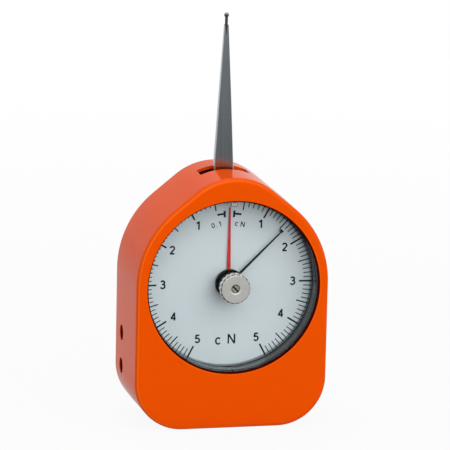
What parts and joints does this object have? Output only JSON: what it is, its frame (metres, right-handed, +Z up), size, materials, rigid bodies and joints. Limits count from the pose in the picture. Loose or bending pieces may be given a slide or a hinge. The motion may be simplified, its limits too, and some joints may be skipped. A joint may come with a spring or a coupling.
{
  "type": "force gauge",
  "caption": "Dial force gauge with a swinging feeler arm, a red pointer geared to it and a black drag pointer with a reset knob, in an orange case.",
  "frame": {"origin": "middle of the flat underside of the case", "axes": "+Z up along the feeler arm, the dial faces -Y, +X to the right of someone reading the dial"},
  "size_m": [0.06, 0.0333, 0.1256],
  "materials": {
    "case_paint": "gloss",
    "dial_enamel": "satin",
    "clear_acrylic": "polished",
    "dark_spring_steel": "satin",
    "pale_plastic": "satin",
    "brass": "satin",
    "bronze": "satin",
    "ruby": "polished",
    "screw_steel": "turned",
    "spring_steel": "polished",
    "arm_steel": "brushed",
    "blackened_steel": "satin",
    "black_plastic": "satin",
    "red_lacquer": "satin",
    "black_lacquer": "satin",
    "nickel": "turned satin"
  },
  "bodies": {
    "case": {"housing": "case_paint", "back_cover": "case_paint", "cover_screws": "screw_steel", "dial_plate": "dial_enamel", "crystal": "clear_acrylic", "crystal_ring": "dark_spring_steel", "crystal_key": "pale_plastic", "movement_plate": "brass", "plate_screws": "screw_steel", "bridge_pillars": "brass", "bridge": "brass", "bridge_screws": "screw_steel", "lever_bearings": "bronze", "pinion_bearings": "ruby", "stop_pins": "screw_steel", "measuring_spring": "spring_steel", "measuring_stud": "brass", "backlash_spring": "spring_steel", "backlash_stud": "brass", "knob_bushing": "black_plastic"},
    "lever": {"lever_arbor": "screw_steel", "sector_gear": "brass", "balance_weight": "brass", "feeler_arm": "arm_steel", "feeler_ball": "blackened_steel", "arm_screws": "screw_steel", "measuring_collet": "brass"},
    "pointer": {"pinion_staff": "screw_steel", "pointer_hub": "brass", "main_pointer": "red_lacquer", "backlash_collet": "brass"},
    "drag": {"drag_pointer": "black_lacquer", "drag_hub": "black_plastic", "knob_spindle": "screw_steel", "reset_knob": "nickel", "knob_screw": "nickel", "friction_washer": "spring_steel"}
  },
  "joints": [
    {"name": "lever_swing", "type": "hinge", "parent": "case", "child": "lever", "pos_m": [0, 0, 0.0608], "axis": [0, 1, 0], "range_deg": [-15.2, 15.2], "stiffness_Nm_per_rad": 0.012, "deforming": ["measuring_spring"]},
    {"name": "pointer_turn", "type": "hinge", "parent": "case", "child": "pointer", "pos_m": [0, 0, 0.0443], "axis": [0, 1, 0], "range_deg": [-152, 152], "deforming": ["backlash_spring"]},
    {"name": "drag_turn", "type": "hinge", "parent": "case", "child": "drag", "pos_m": [0, 0, 0.0443], "axis": [0, 1, 0], "range_deg": [-44, 312]}
  ],
  "couplings": [
    {"joint": "pointer_turn", "follows": "lever_swing", "ratio": -10}
  ]
}
